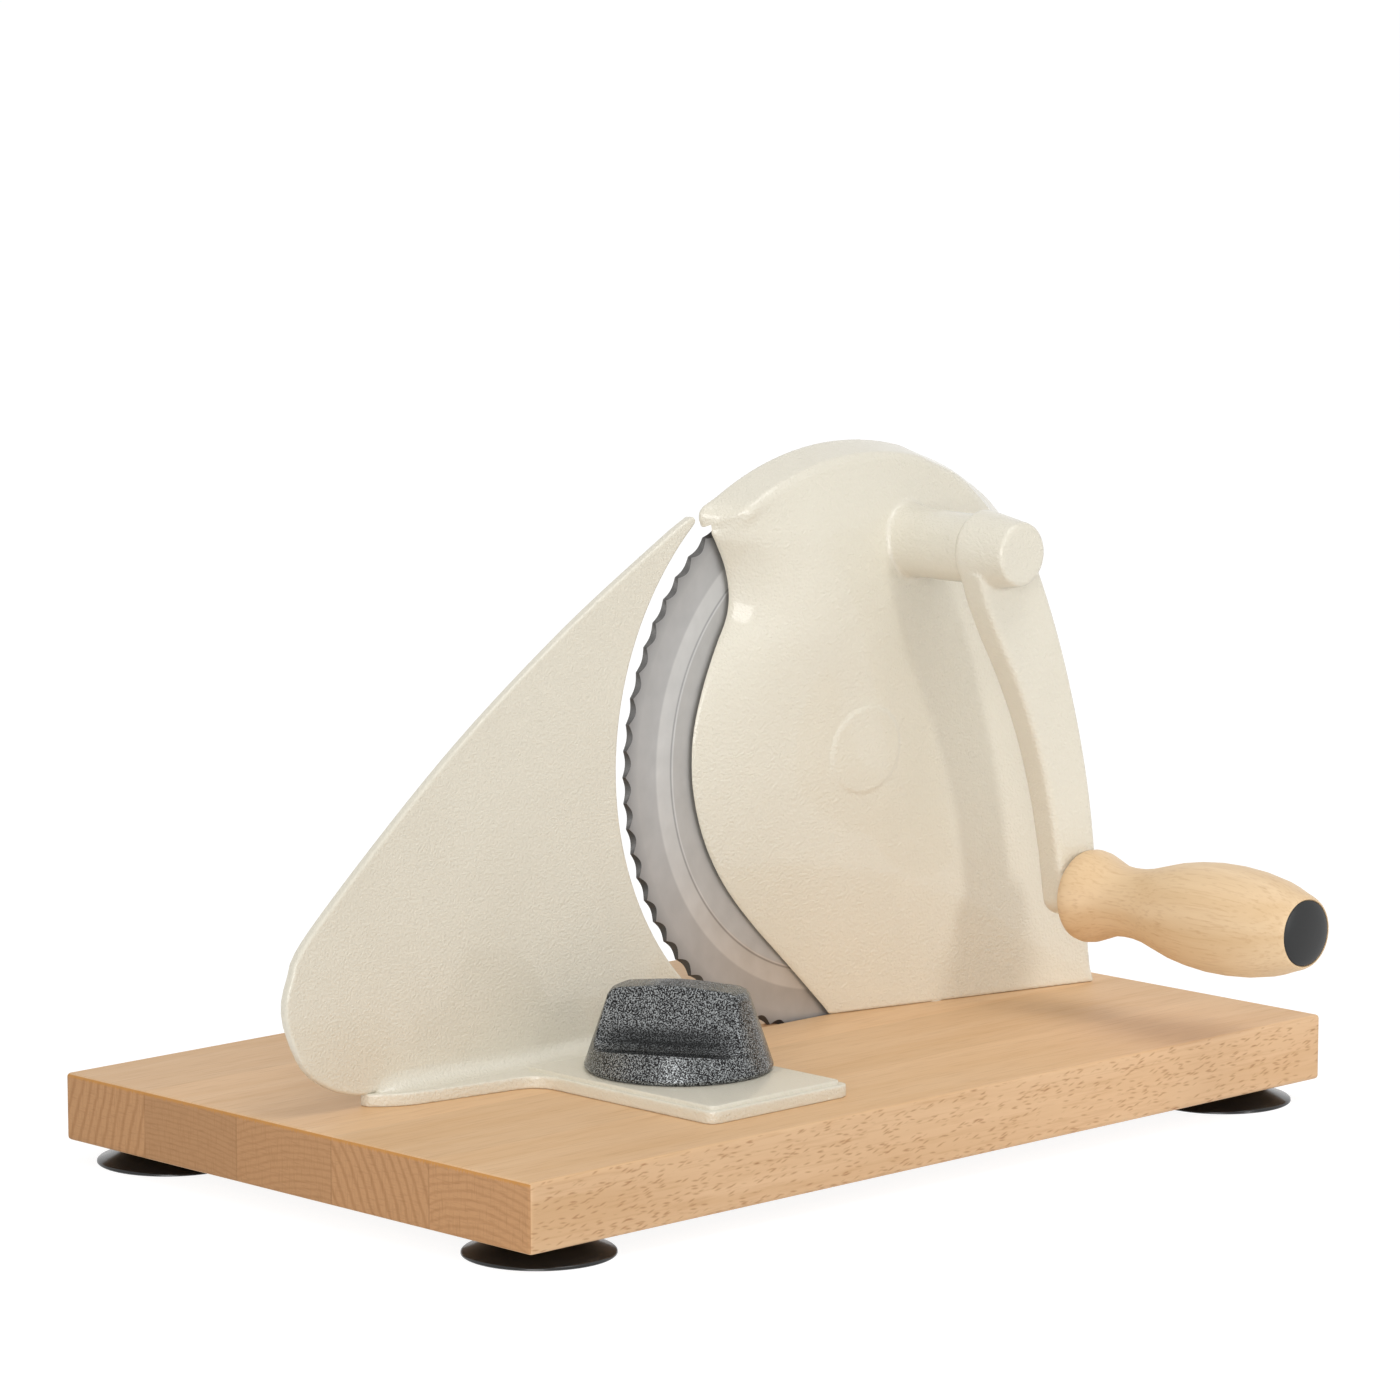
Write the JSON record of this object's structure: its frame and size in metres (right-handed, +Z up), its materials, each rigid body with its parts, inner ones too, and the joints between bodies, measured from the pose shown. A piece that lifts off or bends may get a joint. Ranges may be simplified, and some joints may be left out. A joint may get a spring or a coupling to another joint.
{
  "type": "hand-crank bread slicer",
  "caption": "Hand-cranked bread slicer: scalloped round blade geared to a wooden-gripped crank in a cast housing on a beech board with suction cups and a sliding clamped gauge fence.",
  "frame": {"origin": "under the middle of the overall length and width, on the surface that the suction cups stand on", "axes": "+X along the board from the fence towards the housing, +Y away from the crank handle towards the bread side, +Z up"},
  "size_m": [0.36, 0.2636, 0.2218],
  "materials": {
    "beech": "oiled beech, fine grain",
    "ivory_enamel": "semi-gloss ivory enamel on an aluminium casting",
    "stainless_steel": "satin, ground in rings",
    "zinc_steel": "zinc plated",
    "bronze": "plain turned",
    "nylon": "natural, moulded",
    "rubber": "glossy black",
    "hammertone": "dark grey hammertone",
    "black_plastic": "satin charcoal"
  },
  "bodies": {
    "base": {"base_board": "beech", "suction_cup_near_left": "rubber", "suction_cup_near_right": "rubber", "suction_cup_far_left": "rubber", "suction_cup_far_right": "rubber", "cup_screw_near_left": "zinc_steel", "cup_screw_near_right": "zinc_steel", "cup_screw_far_left": "zinc_steel", "cup_screw_far_right": "zinc_steel", "housing": "ivory_enamel", "housing_screw_1": "zinc_steel", "housing_screw_2": "zinc_steel", "housing_screw_3": "zinc_steel", "axle_stud": "zinc_steel", "axle_clip": "zinc_steel", "crank_bush_inner": "bronze", "crank_bush_outer": "bronze"},
    "cutter": {"axle_bush": "bronze", "blade_gear": "nylon", "blade": "stainless_steel", "blade_screw": "zinc_steel"},
    "crank": {"crank_shaft": "zinc_steel", "crank_clip": "zinc_steel", "crank_pinion": "zinc_steel", "crank_arm": "ivory_enamel", "crank_grub_screw": "zinc_steel", "handle_bolt": "zinc_steel", "handle_washer": "zinc_steel"},
    "grip": {"handle_grip": "beech", "handle_end_cap": "black_plastic"},
    "fence": {"gauge_fence": "ivory_enamel", "clamp_bolt": "zinc_steel", "clamp_slide": "zinc_steel"},
    "knob": {"clamp_knob": "hammertone", "knob_insert": "bronze"}
  },
  "joints": [
    {"name": "crank_spin", "type": "hinge", "parent": "base", "child": "crank", "pos_m": [0.0829, -0.0222, 0.18851], "axis": [0, -1, 0], "continuous": true},
    {"name": "blade_spin", "type": "hinge", "parent": "base", "child": "cutter", "pos_m": [0.065, 0.0278, 0.1198], "axis": [0, -1, 0], "continuous": true},
    {"name": "grip_spin", "type": "hinge", "parent": "crank", "child": "grip", "pos_m": [0.12355, -0.0822, 0.06977], "axis": [0, -1, 0], "continuous": true},
    {"name": "fence_slide", "type": "slide", "parent": "base", "child": "fence", "axis": [0, -1, 0], "range_m": [0, 0.018]},
    {"name": "knob_turn", "type": "hinge", "parent": "fence", "child": "knob", "pos_m": [-0.0506, -0.0184, 0.0343], "axis": [0, 0, 1], "range_deg": [0, 180]}
  ],
  "couplings": [
    {"joint": "blade_spin", "follows": "crank_spin", "ratio": -0.47917}
  ]
}
